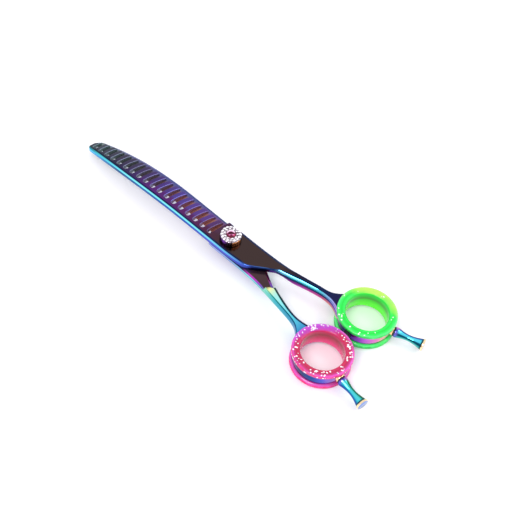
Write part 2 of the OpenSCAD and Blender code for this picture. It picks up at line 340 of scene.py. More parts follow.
def blend_sizes(rows, rounds):
    """Evens out the sizes along the outline."""
    for _ in range(rounds):
        rows = (np.roll(rows, 1, 0) + 2 * rows + np.roll(rows, -1, 0)) / 4
    return rows


def stations(sizes, top, bottom):
    """(inset, height) of each station, from the outer face to the riding face."""
    def chamfer(inset, depth, roundness, level):
        rows = []
        for i in range(CHAMFER_STEPS + 1):
            t = i / CHAMFER_STEPS
            s, c = math.sin(t * math.pi / 2), 1 - math.cos(t * math.pi / 2)
            rows.append((inset * (1 - (roundness * s + (1 - roundness) * t)),
                         level + depth * (roundness * c + (1 - roundness) * t)))
        return rows

    ct, dt, rt, cb, db, rb = sizes
    return ([(ct + LAND, top)] + chamfer(ct, -dt, rt, top)
            + chamfer(cb, db, rb, bottom)[::-1] + [(cb + LAND, bottom)])


def inside(points, polygon):
    """Which points lie inside a polygon."""
    p, q = np.array(points), np.array(polygon)
    x, y = p[:, 0][:, None], p[:, 1][:, None]
    x0, y0 = q[:, 0], q[:, 1]
    x1, y1 = np.roll(x0, -1), np.roll(y0, -1)
    crosses = (y0 > y) != (y1 > y)
    with np.errstate(divide="ignore", invalid="ignore"):
        hit = x < (x1 - x0) * (y - y0) / (y1 - y0) + x0
    return (crosses & hit).sum(1) % 2 == 1


def fill(loop, holes, extra_edges, height, flip, vertices, faces):
    """Triangles over a flat region between a loop and its holes, which are lists of
    indices into vertices. Inner points are added where height gives a number."""
    flat = np.array(vertices)[:, :2]
    outline = flat[loop]
    rings = [flat[h] for h in holes]
    edge = np.concatenate([outline] + rings)
    low, high = outline.min(0), outline.max(0)
    grid = np.array([(x, y) for x in np.arange(low[0], high[0], GRID)
                     for y in np.arange(low[1], high[1], GRID)])
    keep = inside(grid, outline)
    for r in rings:
        keep &= ~inside(grid, r)
    keep &= np.linalg.norm(grid[:, None] - edge[None], axis=2).min(1) > GRID_CLEAR
    grid = grid[keep]
    start = len(vertices)
    heights = [height(x, y) for x, y in grid]
    kept = [i for i, z in enumerate(heights) if z is not None]
    vertices += [(grid[i][0], grid[i][1], heights[i]) for i in kept]
    ids = list(loop) + [i for h in holes for i in h] + list(range(start, len(vertices)))
    where = {v: i for i, v in enumerate(ids)}
    pairs = [p for h in [loop] + holes for p in zip(h, h[1:] + h[:1])] + extra_edges
    edges = [(where[a], where[b]) for a, b in pairs]
    points = [Vector(vertices[i][:2]) for i in ids]
    out = delaunay_2d_cdt(points, edges, [], 0, 1e-6, True)
    places, triangles, sources = out[0], out[2], out[3]
    centres = [tuple(sum((places[i] for i in t), Vector((0, 0))) / 3) for t in triangles]
    good = inside(centres, outline)
    for r in rings:
        good &= ~inside(centres, r)
    for t, ok in zip(triangles, good):
        if ok and all(sources[i] for i in t):
            face = [ids[sources[i][0]] for i in t]
            a, b, c = (Vector(vertices[i][:2]) for i in face)
            up = (b - a).cross(c - a) > 0
            faces.append(face if up != flip else face[::-1])


def hole_rings(centre, profile, vertices):
    """Rings of vertices for a round hole, from the outer face to the riding face."""
    rings, n = [], HOLE_SEGMENTS
    for r, z in profile:
        rings.append(list(range(len(vertices), len(vertices) + n)))
        vertices += [(x, y, z) for x, y in arc(centre, r, 0, 360 - 360 / n, n - 1)]
    return rings


def build_half(outline, sizes_of, top_of, bottom_of, step, holes, slot_of):
    """Vertices, faces and material indices of one half. step is the pair of points
    at which the half grows at once from the ricasso's thickness to the shank's."""
    flat = [(x, y) for x, y, _ in outline]
    zones = [z for _, _, z in outline]
    n = len(flat)
    inward = inward_normals(flat)
    sizes = np.array([sizes_of(x, z) for x, _, z in outline])
    crisp = np.array([z in ("slot", "spine") for z in zones])
    sizes = np.where(crisp[:, None], blend_sizes(sizes, 1), blend_sizes(sizes, 8))
    deep = [False] * n
    if step:
        a, b = (Vector(p) for p in step)
        deep = [(b - a).cross(Vector(p) - a) > 0 and p[0] < STEP_X for p in flat]
    table = [stations(s, top_of(x, y), -SHANK_Z if d else bottom_of(x, y))
             for s, (x, y), d in zip(sizes, flat, deep)]
    vertices, loops, faces, indices = [], [], [], []
    for k in range(len(table[0])):
        loops.append(list(range(len(vertices), len(vertices) + n)))
        for (x, y), step_in, row in zip(flat, inward, table):
            inset, z = row[k]
            new_x, new_y = x + step_in[0] * inset, y + step_in[1] * inset
            if k <= CHAMFER_STEPS + 1:
                z += top_of(new_x, new_y) - top_of(x, y)
            vertices.append((new_x, new_y, z))
    parts = [FACE] + [CHAMFER] * CHAMFER_STEPS + [WALL] + [UNDER] * CHAMFER_STEPS + [RIDE]
    for part, high, low in zip(parts, loops, loops[1:]):
        faces += [q[-1:] + q[:-1] for q in band(low, high)]
        indices += [slot_of(part, zone) for zone in zones]
    tops, bottoms = [], []
    for centre, profile in holes:
        rings = hole_rings(centre, profile, vertices)
        for high, low in zip(rings, rings[1:]):
            faces += band(high, low)
        tops.append(rings[0])
        bottoms.append(rings[-1])
    indices += [RIDE] * (len(faces) - len(indices))
    fill(loops[0], tops, [], top_of, False, vertices, faces)
    indices += [FACE] * (len(faces) - len(indices))

    def below(x, y):
        """Height of an inner point of the riding side, or None close to the step."""
        if not step or x > STEP_X:
            return bottom_of(x, y)
        beyond = (b - a).normalized().cross(Vector((x, y)) - a)
        if abs(beyond) < STEP_GUARD:
            return None
        return -SHANK_Z if beyond > 0 else bottom_of(x, y)

    last = loops[-1]
    step_edges = []
    if step:
        first, second = (i for i in range(n) if deep[i] != deep[i - 1])
        step_edges = [(last[first - 1], last[second]), (last[first], last[second - 1])]
    fill(last, bottoms, step_edges, below, True, vertices, faces)
    return vertices, faces, indices + [RIDE] * (len(faces) - len(indices))


def add_boss(centre, direction, vertices, faces, indices, slot):
    """The stub on a ring that the finger rest screws into."""
    profile = [(0, 11.4), (2.15, 11.4), (2.15, BOSS_END - 0.35), (2.05, BOSS_END - 0.1),
               (1.9, BOSS_END), (1.3, BOSS_END), (1.3, 12), (0, 12)]
    points, quads = lathe(profile, 40)
    a = math.radians(direction)
    base = len(vertices)
    vertices += [(centre[0] + z * math.cos(a) - y * math.sin(a),
                  centre[1] + z * math.sin(a) + y * math.cos(a), -x) for x, y, z in points]
    faces += [[base + i for i in q][::-1] for q in quads]
    indices += [slot] * len(quads)


def plain_top(x, y):
    return SHANK_Z + (BACK_Z - SHANK_Z) * smooth_step((x + 44) / 14)


def toothed_top(x, y):
    """The outer face falls away over the teeth."""
    shank = plain_top(x, y)
    if x < 7.5 or y > ROOT_Y:
        return shank
    t = min((ROOT_Y - y) / (ROOT_Y - TEETH_Y), 1.15) * smooth_step((x - 7.5) / 2)
    return shank - 1.15 * t - 0.45 * t ** 4


def toothed_bottom(x, y):
    """The shank grows below the blades' meeting plane behind the ricasso."""
    return FACE_Z - (FACE_Z + SHANK_Z) * smooth_step((-25.5 - x) / 11)


def toothed_slots(part, zone):
    edge = part in (CHAMFER, WALL, UNDER)
    if edge and zone in ("slot", "ring"):
        return SLOT_WALL if zone == "slot" else GREEN_WALL
    return RIM if part == CHAMFER and zone == "outer" else part


def plain_slots(part, zone):
    # The cutting edge takes the near-white painted glint material.
    if part in (CHAMFER, WALL, UNDER) and zone in ("ring", "edge"):
        return PINK_WALL if zone == "ring" else EDGE_GLINT
    if part == UNDER and zone in ("outer", "spine"):
        return OUTER_EDGE if zone == "outer" else BLADE_EDGE
    return part


RING_HOLE = [(RING_IN + 0.3, SHANK_Z), (RING_IN, SHANK_Z - 0.3), (RING_IN, 0.3 - SHANK_Z),
             (RING_IN + 0.3, -SHANK_Z)]


def make_toothed_half():
    bore = [(BUSHING_R, BACK_Z), (BUSHING_R, WASHER_Z), (WASHER_R, WASHER_Z),
            (WASHER_R, FACE_Z)]
    v, f, m = build_half(toothed_outline(), toothed_sizes, toothed_top, toothed_bottom, None,
                         [((0, 0), bore), (GREEN_RING, RING_HOLE)], toothed_slots)
    v = [bent(p) for p in v]
    add_boss(GREEN_RING, GREEN_REST, v, f, m, GREEN_BOSS)
    return mesh_object("toothed_blade_and_handle", v, f, toothed_materials(), m, 25)


def make_plain_half():
    bore = [(3.55, BACK_Z), (3.55, 1.46), (SCREW_R, 1.46), (SCREW_R, WASHER_Z),
            (WASHER_R, WASHER_Z), (WASHER_R, FACE_Z)]
    step = [(-28.6, -8.4), (-31.2, -4.3)]
    v, f, m = build_half(plain_outline(), plain_sizes, plain_top, lambda x, y: FACE_Z, step,
                         [((0, 0), bore), (PINK_DRAWN, RING_HOLE)], plain_slots)
    v = [bent((x, -y, -z)) for x, y, z in v]
    add_boss(PINK_RING, PINK_REST, v, f, m, PINK_BOSS)
    return mesh_object("plain_blade_and_handle", v, f, plain_materials(), m, 25)


# ---- materials ----


def colour(r, g, b):
    """Linear colour of an 8-bit screen colour."""
    return [(c / 255 / 12.92 if c <= 10 else ((c / 255 + 0.055) / 1.055) ** 2.4)
            for c in (r, g, b)] + [1]


class Material:
    """A node material with one Principled shader."""

    def __init__(self, name, **values):
        self.made = bpy.data.materials.new(name)
        self.made.use_nodes = True
        self.tree = self.made.node_tree
        self.tree.nodes.clear()
        self.shader = self.node("ShaderNodeBsdfPrincipled")
        out = self.node("ShaderNodeOutputMaterial")
        self.link(self.shader.outputs[0], out.inputs[0])
        for key, value in values.items():
            self.shader.inputs[key.replace("_", " ")].default_value = value
        self.coords = self.node("ShaderNodeTexCoord")

    def node(self, kind, **props):
        made = self.tree.nodes.new(kind)
        for key, value in props.items():
            setattr(made, key, value)
        return made

    def link(self, a, b):
        self.tree.links.new(a, b)

    def feed(self, socket, value):
        if hasattr(value, "is_linked"):
            self.link(value, socket)
        else:
            socket.default_value = value

    def math(self, op, a, b=0.0, c=0.0):
        n = self.node("ShaderNodeMath", operation=op)
        for socket, value in zip(n.inputs, (a, b, c)):
            self.feed(socket, value)
        return n.outputs[0]

    def axis(self, name, source="Object"):
        split = self.node("ShaderNodeSeparateXYZ")
        self.link(self.coords.outputs[source], split.inputs[0])
        return split.outputs["XYZ".index(name)]

    def noise(self, scale, detail=2.0, stretch=(1, 1, 1)):
        mapping = self.node("ShaderNodeMapping")
        mapping.inputs["Scale"].default_value = stretch
        self.link(self.coords.outputs["Object"], mapping.inputs["Vector"])
        n = self.node("ShaderNodeTexNoise")
        n.inputs["Scale"].default_value = scale
        n.inputs["Detail"].default_value = detail
        self.link(mapping.outputs[0], n.inputs["Vector"])
        return n.outputs["Fac"]

    def spread(self, value, low, high, smooth=False):
        """value scaled so that low gives 0 and high gives 1."""
        n = self.node("ShaderNodeMapRange")
        n.interpolation_type = "SMOOTHSTEP" if smooth else "LINEAR"
        self.link(value, n.inputs["Value"])
        n.inputs["From Min"].default_value = low
        n.inputs["From Max"].default_value = high
        return n.outputs[0]

    def ramp(self, value, stops):
        """Colour along stops of (0 to 1, colour)."""
        n = self.node("ShaderNodeValToRGB")
        self.link(value, n.inputs[0])
        elements = n.color_ramp.elements
        while len(elements) < len(stops):
            elements.new(0.5)
        for e, (at, c) in zip(elements, stops):
            e.position = at
            e.color = colour(*c)
        return n.outputs[0]

    def mix(self, factor, a, b):
        n = self.node("ShaderNodeMix", data_type="RGBA")
        self.link(factor, n.inputs[0])
        for socket, value in ((n.inputs[6], a), (n.inputs[7], b)):
            self.feed(socket, colour(*value) if isinstance(value, tuple) else value)
        return n.outputs[2]

    def weigh(self, a, share_a, b, share_b):
        return self.math("ADD", self.math("MULTIPLY", a, share_a),
                         self.math("MULTIPLY", b, share_b))

    def radius(self):
        x, y = self.axis("X"), self.axis("Y")
        return self.math("SQRT", self.weigh(x, x, y, y))

    def facing(self):
        """How far a facet is turned towards +X and -Y, which sets the painted light and shade on
        the stones.
        """
        return self.weigh(self.axis("X", "Normal"), 0.75, self.axis("Y", "Normal"), -0.55)

    def strayed(self, value, noise, most):
        """value moved by a noise, by at most so much either way."""
        return self.math("ADD", value, self.math("MULTIPLY_ADD", noise, 2 * most, -most))

    def roughness(self, value, low, high):
        self.link(self.math("MULTIPLY_ADD", value, high - low, low),
                  self.shader.inputs["Roughness"])

    def bump(self, value, strength, distance):
        n = self.node("ShaderNodeBump")
        n.inputs["Strength"].default_value = strength
        n.inputs["Distance"].default_value = distance
        self.link(value, n.inputs["Height"])
        self.link(n.outputs[0], self.shader.inputs["Normal"])

    def colour_from(self, socket):
        self.link(socket, self.shader.inputs["Base Color"])


SPAN = 100  # mm, the colour stops of a half lie within this of the pivot


def coated(name, bands, wander=2.0, rough=(0.07, 0.16), beyond=None, metal=1.0):
    """Polished metal with a rainbow coating. Its colour changes with how far a face is turned up,
    which is painted reflection, and along its length, which is partly the coating's own colour and
    partly painted reflection. Each band is (lowest normal z of the band, stops of (x in mm,
    colour)), from the topmost band down. beyond is (y in mm, width, stops) for the part with a
    smaller y."""
    m = Material(name, Metallic=metal)
    x = m.spread(m.strayed(m.axis("X"), m.noise(90, 3), wander * MM), -SPAN * MM, SPAN * MM)
    up = m.axis("Z", "Normal")

    def row(stops):
        return m.ramp(x, [((at + SPAN) / SPAN / 2, c) for at, c in stops])

    result = row(bands[-1][1])
    for limit, stops in bands[-2::-1]:
        result = m.mix(m.spread(up, limit - 0.06, limit + 0.06, True), result, row(stops))
    if beyond:
        at, width, stops = beyond
        side = m.spread(m.axis("Y"), (at + width) * MM, (at - width) * MM, True)
        result = m.mix(side, result, row(stops))
    m.colour_from(result)
    m.roughness(m.noise(700, 4, (0.15, 1, 1)), *rough)
    m.bump(m.noise(2500, 2, (0.06, 1, 1)), 0.03, 0.02 * MM)
    return m.made


BROWN = (70, 56, 55)
NAVY = (28, 38, 84)
CYAN = (136, 246, 252)
MAGENTA = (190, 66, 170)
GOLD = (246, 200, 120)
BOSS = [(0, [(-85, GOLD), (-80, (250, 220, 170))])]


def toothed_materials():
    shank = [(-60, (40, 34, 80)), (-46, (32, 44, 84)), (-34, (44, 38, 54)), (-26, BROWN),
             (0, BROWN)]
    face = shank + [(10, (86, 46, 72)), (26, (96, 46, 106)), (46, (92, 46, 120)),
                    (60, (66, 48, 98)), (70, (50, 46, 74)), (93, (50, 56, 68))]
    # Tooth tops are a lighter violet blue in mid-blade, a painted highlight.
    teeth = shank + [(8, (86, 54, 84)), (18, (96, 66, 140)), (34, (86, 70, 150)),
                     (46, (78, 56, 126)), (56, (68, 54, 98)), (72, (60, 54, 80)),
                     (93, (62, 72, 84))]
    # Spine chamfer bands by facing are painted reflections: line is a thin dark line at the top of
    # the chamfer, bright is a painted cyan highlight below it, and blue is the wall further down.
    line = [(-60, (60, 40, 110)), (-44, (14, 34, 66)), (-28, (24, 60, 100)),
            (-24, (74, 116, 176)), (-16, (60, 90, 166)), (-11, (24, 34, 74)), (5, (20, 40, 84)),
            (50, (26, 30, 84)), (93, (16, 40, 60))]
    bright = [(-60, (214, 150, 226)), (-54, (160, 170, 236)), (-47, (90, 206, 226)),
              (-34, (96, 212, 236)), (-29, (104, 180, 230)), (-25, (26, 54, 104)),
              (-17, (20, 30, 84)), (-13, (80, 116, 210)), (-4, (110, 190, 240)),
              (8, (130, 230, 252)), (20, CYAN), (60, CYAN), (70, (110, 230, 250)),
              (84, (80, 200, 212)), (93, (40, 130, 140))]
    blue = [(-60, (120, 70, 190)), (-50, NAVY), (-20, (30, 42, 92)), (-13, (60, 80, 180)),
            (5, (84, 92, 204)), (20, (36, 80, 180)), (50, (24, 90, 160)), (70, (20, 76, 130)),
            (84, (50, 150, 210)), (93, (80, 196, 240))]
    low = [(-60, (250, 200, 130)), (-54, (244, 150, 110)), (-48, (214, 80, 150)),
           (-38, MAGENTA), (-28, (120, 54, 160)), (-20, NAVY), (93, blue[-2][1])]
    rim = [(-60, (40, 40, 90)), (-48, (10, 60, 84)), (-30, (20, 50, 90)), (-16, (26, 44, 90)),
           (4, (24, 40, 84)), (10, (40, 50, 90)), (93, NAVY)]
    # Slots: edges gives the slot chamfers a lighter violet blue, a painted reflection; walls grow
    # lighter and greener towards the tip as painted glints.
    walls = [(0, (110, 80, 84)), (12, (130, 90, 100)), (30, (120, 92, 130)),
             (50, (110, 104, 130)), (70, (110, 120, 124)), (93, (110, 130, 130))]
    edges = [(0, (90, 76, 104)), (12, (110, 94, 146)), (34, (106, 102, 184)),
             (56, (88, 84, 122)), (93, (90, 106, 116))]
    ring = [(-82, GOLD), (-80, (226, 120, 190)), (-76, (184, 90, 216)), (-70, (120, 74, 214)),
            (-66, (34, 44, 110)), (-62, (120, 90, 140)), (-58, (214, 160, 200)), (-50, NAVY)]
    dark = [(-60, (40, 40, 80)), (0, (60, 40, 50)), (93, (50, 60, 70))]
    return [
        coated("toothed_face", [(0, face)], 4, (0.10, 0.2), (2.2, 1.2, teeth)),
        coated("toothed_chamfer", [(0.86, line), (0.36, bright), (0.1, blue), (-1, low)]),
        coated("toothed_wall", [(0, blue), (-1, low)]),
        coated("toothed_under_edge", [(0, low)]),
        coated("toothed_ride_face", [(0, dark)]),
        coated("toothed_slots", [(0.3, edges), (-1, walls)], 2.0, (0.2, 0.35), None, 0.7),
        coated("green_ring_wall", [(0, ring)]),
        coated("green_boss_coat", BOSS),
        coated("toothed_rim", [(0.3, rim), (-1, blue)]),
    ]


def plain_materials():
    under = [(-60, (40, 110, 150)), (-30, (90, 150, 190)), (0, (120, 90, 190)), (40, (60, 60, 170)),
             (93, (40, 120, 150))]
    chamfer = [(-60, (40, 150, 180)), (-40, (60, 200, 200)), (-28, (120, 220, 180)),
               (-16, (150, 226, 206)), (8, (120, 170, 190)), (40, (50, 60, 130)),
               (93, (50, 90, 130))]
    wall = [(-60, (50, 100, 190)), (-48, (30, 140, 180)), (-36, (50, 176, 190)),
            (-28, (130, 220, 190)), (-24, (110, 200, 206)), (-18, (130, 224, 226)),
            (-12, (140, 190, 216)), (-6, (142, 170, 216)), (1, (156, 172, 226)),
            (8, (140, 152, 216)), (12, NAVY), (60, (40, 60, 110)),
            (93, (70, 120, 140))]
    inner = [(-60, (40, 50, 110)), (-56, (24, 30, 84)), (-48, (14, 44, 80)),
             (-40, (16, 62, 70)), (-33, (30, 70, 60)), (-31, (80, 80, 120)),
             (-29, (120, 84, 184)), (-26, (150, 46, 110)), (-22, (150, 34, 58)),
             (-14, BROWN), (93, BROWN)]
    outer = [(-60, (40, 60, 150)), (-50, (20, 90, 130)), (-40, (20, 120, 130)),
             (-34, (50, 160, 150)), (-30, (170, 230, 180)), (-27, (110, 100, 200)),
             (-22, (190, 70, 200)), (-18, (200, 80, 190)), (-14, NAVY), (93, NAVY)]
    navy = [(0, NAVY), (10, (20, 50, 110)), (40, (30, 50, 140)), (64, (46, 54, 124)),
            (80, (36, 60, 120)), (93, (40, 80, 120))]
    # Riding face as seen through the slots: reddish brown at the heel, then lighter and greyer
    # towards the tip, as painted light against the toothed half's shade.
    ride = [(-60, (40, 70, 150)), (-54, (60, 150, 200)), (-48, (90, 206, 226)),
            (-40, (140, 232, 236)), (-35, (170, 236, 226)), (-33, (206, 240, 200)),
            (-31, (244, 244, 160)), (-29.5, (64, 46, 50)), (-16, (76, 50, 56)),
            (4, (124, 78, 72)), (14, (152, 100, 86)), (34, (144, 96, 88)),
            (46, (116, 90, 92)), (70, (104, 110, 112)), (93, (112, 130, 130))]
    step = ride[:7] + [(-29.5, (100, 70, 150)), (-27, (104, 42, 84)), (-22, (86, 34, 46)),
                       (-14, BROWN), (93, BROWN)]
    tips = [(-60, (40, 70, 150)), (0, (90, 60, 100)), (8, (110, 76, 120)),
            (16, (104, 84, 150)), (26, (84, 88, 140)), (40, (80, 84, 140)), (60, (84, 82, 130)),
            (75, (88, 90, 134)), (93, (70, 80, 110))]
    ring = [(-82, (236, 196, 140)), (-80, (196, 140, 206)), (-77, (84, 96, 206)),
            (-73, (34, 78, 150)), (-66, (48, 66, 104)), (-58, (110, 96, 170)), (-50, NAVY)]
    return [
        coated("plain_under_face", [(0, under)]),
        coated("plain_chamfer", [(0, chamfer)]),
        coated("plain_wall", [(0, wall)]),
        coated("plain_inner_edge", [(0, inner)], 1.0),
        coated("plain_ride_face", [(0.82, ride), (-1, step)], 0.8, (0.14, 0.26),
               (-4.5, 1.2, tips), 0.75),
        coated("pink_ring_wall", [(0, ring)]),
        coated("pink_boss_coat", BOSS),
        coated("plain_outer_edge", [(0, outer)], 1.0),
        coated("plain_blade_edge", [(0, navy)]),
        # The cutting edge wall is painted near white as a painted glint at the slot roots.
        coated("plain_edge_glint", [(0, [(0, (250, 250, 255)), (93, (230, 240, 250))])],
               2.0, (0.2, 0.3), None, 0.3),
    ]


def silicone(name, rings, inner, far, far_way):
    """Glossy translucent silicone. rings are colours over the flange, by radius in mm;
    inner are colours down the hole, by height, with painted shade under the flange and a painted
    glow low down; far is a painted highlight on the side that lies along far_way."""
    m = Material(name, Roughness=0.2, IOR=1.42, Coat_Weight=0.35, Coat_Roughness=0.06,
                 Subsurface_Weight=0.5, Subsurface_Scale=0.6, Subsurface_Anisotropy=0.3)
    m.shader.inputs["Subsurface Radius"].default_value = [
        0.0006 + 0.004 * c for c in colour(*rings[1][1])[:3]]
    r = m.radius()
    flange = m.ramp(m.spread(m.strayed(r, m.noise(260, 3), 0.5 * MM), 9 * MM, 14 * MM),
                    [((at - 9) / 5, c) for at, c in rings])
    patch = m.math("MULTIPLY", m.spread(m.noise(110, 2), 0.46, 0.62, True), 0.45)
    flange = m.mix(patch, flange, rings[2][1])
    # The side along far_way takes the far colour, a painted highlight.
    side = m.strayed(m.weigh(m.axis("X"), far_way[0], m.axis("Y"), far_way[1]),
                     m.noise(140, 2), 7 * MM)
    reach = m.math("ADD", side, m.math("MULTIPLY", r, 0.8))
    with_far_highlight = m.mix(m.math("MULTIPLY", m.spread(reach, 12 * MM, 22 * MM, True), 0.8), flange, far)
    # Down the hole: a darker band under the flange is painted shade, the bright part low down is a
    # painted glow.
    hole = m.ramp(m.spread(m.axis("Z"), -5 * MM, 5 * MM),
                  [((at + 5) / 10, c) for at, c in inner])
    m.colour_from(m.mix(m.spread(r, 10.1 * MM, 9.6 * MM, True), with_far_highlight, hole))
    m.roughness(m.noise(900, 3), 0.12, 0.26)
    m.bump(m.noise(500, 3), 0.05, 0.05 * MM)
    return m.made


def green_silicone():
    return silicone(
        "green_silicone",
        [(9.3, (30, 190, 50)), (10.4, (30, 232, 84)), (11.2, (8, 204, 60)),
         (12, (26, 226, 84)), (12.9, (90, 246, 130)), (13.4, (20, 176, 70))],
        # Hole colours by height: bright low down as a painted glow, darker under the flange as
        # painted shade.
        [(-4.5, (110, 255, 50)), (-1.5, (100, 246, 40)), (0.4, (70, 220, 30)),
         (1.6, (60, 150, 20)), (2.6, (40, 190, 40)), (4.6, (24, 214, 66))],
        # Pale yellow green painted highlight on the far side.
        (196, 244, 96), (0.25, -0.95))


def pink_silicone():
    return silicone(
        "pink_silicone",
        [(9.3, (150, 14, 56)), (10.4, (196, 30, 88)), (11.2, (178, 18, 74)),
         (12, (190, 40, 116)), (12.7, (214, 84, 190)), (13.05, (224, 70, 170)),
         (13.4, (228, 34, 112))],
        # Hole colours by height: bright low down as a painted glow, darker under the flange as
        # painted shade.
        [(-4.5, (250, 90, 164)), (-2, (230, 54, 128)), (0.2, (190, 30, 84)),
         (1.8, (146, 16, 50)), (2.8, (176, 24, 72)), (4.6, (204, 36, 104))],
        # Lavender painted highlight on the far side.
        (178, 70, 206), (0.8, -0.5))


def simple(name, dark, light, scale, rough, metallic=0.0):
    """A material whose colour, roughness and grain vary with a noise."""
    m = Material(name, Metallic=metallic)
    value = m.noise(scale, 4)
    m.colour_from(m.ramp(value, [(0.3, dark), (0.7, light)]))
    m.roughness(value, *rough)
    m.bump(m.noise(scale * 2.5, 3), 0.08, 0.03 * MM)
    return m.made


def dial_metal():
    """Dark polished metal with a painted violet reflection on one side and a short painted bronze
    highlight.
    """
    m = Material("dial_metal", Metallic=1.0)
    turn = m.weigh(m.axis("X"), -0.194 / MM, m.axis("Y"), 0.044 / MM)
    # Colour by position around the knob: violet on one side is painted reflection, bronze low on
    # the -X side is painted highlight.
    m.colour_from(m.ramp(m.spread(turn, -1, 1), [
        (0, (70, 40, 110)), (0.5, (76, 38, 96)), (0.62, (112, 50, 156)), (0.7, (92, 44, 120)),
        (0.8, (46, 30, 48)), (0.955, (44, 30, 36)), (0.972, (206, 134, 80)),
        (1, (212, 144, 88))]))
    m.roughness(m.noise(900, 3, (1, 1, 0.2)), 0.14, 0.26)
    m.bump(m.noise(2000, 2, (1, 1, 0.1)), 0.05, 0.02 * MM)
    return m.made


def rose_crystal():
    """Cut pink stone with painted light on its far facets, painted crimson shade near its centre,
    and a crimson rim.
    """
    m = Material("pink_crystal", Metallic=0.8, IOR=1.6, Coat_Weight=0.25, Coat_Roughness=0.03)
    r = m.radius()
    low = m.weigh(m.axis("X"), -0.7 / MM, m.axis("Y"), 0.7 / MM)
    # A painted crimson shade near the stone's centre, a little towards -X and +Y; facets facing +X
    # and -Y take painted light.
    crimson_shade = m.spread(m.math("ADD", m.math("ABSOLUTE", m.math("SUBTRACT", low, 0.7)),
                            m.math("MULTIPLY", r, 0.5 / MM)), 1.5, 0.4, True)
    value = m.math("SUBTRACT", m.facing(), m.math("MULTIPLY", crimson_shade, 1.2))
    value = m.strayed(value, m.noise(1300, 1), 0.35)
    facets = m.ramp(m.spread(value, -0.9, 0.9), [
        (0, (70, 6, 36)), (0.22, (110, 12, 60)), (0.3, (196, 80, 146)), (0.4, (250, 196, 236)),
        (0.7, (255, 240, 252)), (1, (230, 130, 190))])
    m.colour_from(m.mix(m.spread(r, 1.75 * MM, 1.95 * MM, True), facets, (112, 14, 54)))
    m.roughness(m.noise(900, 2), 0.04, 0.12)
    return m.made


def clear_crystal():
    """Cut stone: facets of each direction take their own painted light and shade."""
    m = Material("clear_crystal", IOR=1.65, Coat_Weight=1.0, Coat_Roughness=0.02,
                 Specular_IOR_Level=0.8, Metallic=0.25)
    turn = m.strayed(m.facing(), m.noise(1100, 1), 0.75)
    m.colour_from(m.ramp(m.spread(turn, -0.8, 0.8), [
        (0.08, (60, 40, 52)), (0.2, (150, 130, 144)), (0.3, (252, 250, 255)),
        (0.74, (255, 255, 255)), (0.84, (222, 196, 220)), (0.94, (96, 74, 90))]))
    m.roughness(m.noise(900, 2), 0.02, 0.08)
    return m.made


def rest_coat(name, way, reflection_by_facing):
    """Coating of a finger rest: body colours painted by how each face turns towards way (side, up),
    as painted reflection, a lilac foot with the same painted reflection, a gold rim and a blue
    disc."""
    m = Material(name, Metallic=1.0)
    z = m.spread(m.strayed(m.axis("Z"), m.noise(250, 3), 0.5 * MM), 13 * MM, 28 * MM)
    turn = m.weigh(m.axis("Y", "Normal"), way[0], m.axis("X", "Normal"), -way[1])
    turn = m.spread(turn, -1, 1)
    body = m.ramp(turn, [((at + 1) / 2, c) for at, c in reflection_by_facing])
    foot = m.ramp(turn, [(0.1, (84, 96, 190)), (0.4, (130, 110, 220)), (0.7, (60, 70, 180)),
                         (0.95, (226, 140, 226))])
    along = m.mix(m.spread(z, 0.2, 0.09, True), body, foot)
    rim = m.ramp(z, [(0.86, (20, 80, 90)), (0.895, (24, 70, 80)), (0.915, (255, 236, 190)),
                     (0.94, (250, 220, 170))])
    ended = m.mix(m.spread(z, 0.84, 0.88, True), along, rim)
    disc = m.spread(m.axis("Z", "Normal"), 0.8, 0.95, True)
    m.colour_from(m.mix(disc, ended, (120, 150, 206)))
    m.roughness(m.noise(900, 4), 0.07, 0.16)
    m.bump(m.noise(2500, 2, (1, 1, 0.1)), 0.03, 0.02 * MM)
    return m.made


def green_rest_coat():
    return rest_coat("green_rest_coat", (0.8, 0.59), [
        (-1, (120, 214, 190)), (-0.7, (60, 170, 170)), (-0.5, (10, 70, 90)),
        (-0.1, (14, 90, 120)), (0.05, (84, 214, 240)), (0.5, (96, 226, 246)),
        (0.72, (40, 110, 190)), (0.85, (24, 36, 110)), (1, (60, 40, 120))])


def pink_rest_coat():
    return rest_coat("pink_rest_coat", (0.88, 0.47), [
        (-1, (70, 120, 200)), (-0.8, (30, 60, 150)), (-0.55, (20, 110, 160)),
        (-0.3, (70, 206, 226)), (0.2, (90, 222, 226)), (0.5, (60, 190, 180)),
        (0.66, (10, 80, 70)), (0.85, (60, 140, 90)), (1, (24, 110, 90))])


# ---- inserts, flakes and finger rests ----


def placed(centre, turn=0):
    spot = Matrix.Translation(Vector((*centre, 0)) * MM)
    return spot @ Matrix.Rotation(math.radians(turn), 4, "Z")


def insert_profile():
    """Section of the insert, from its hole over the top flange to the underside."""
    mouth = arc((10.4, 0.9), 0.9, 180, 90, 8)
    flange = arc((12.6, 1.1), 0.7, 90, 0, 8)
    rim = mouth + flange + [(13.24, 0.35), (12.95, 0)]

    def side(lift):
        return ([(9.5, 1.2)] + [(r, z + lift) for r, z in rim]
                + [(12.2, 2.25), (RING_IN - 0.02, 2.25)])

    return side(3.1) + [(r, -z) for r, z in side(2.7)[::-1]]


def make_insert(name, centre, material):
    profile = insert_profile()
    segments = 144
    v, f = lathe(profile + profile[:1], segments)
    last = len(profile) * segments  # the first row comes again from here on
    f = [[i % last for i in q][::-1] for q in f]
    return mesh_object(name, v[:last], f, [material], sharp=50, place=placed(centre))


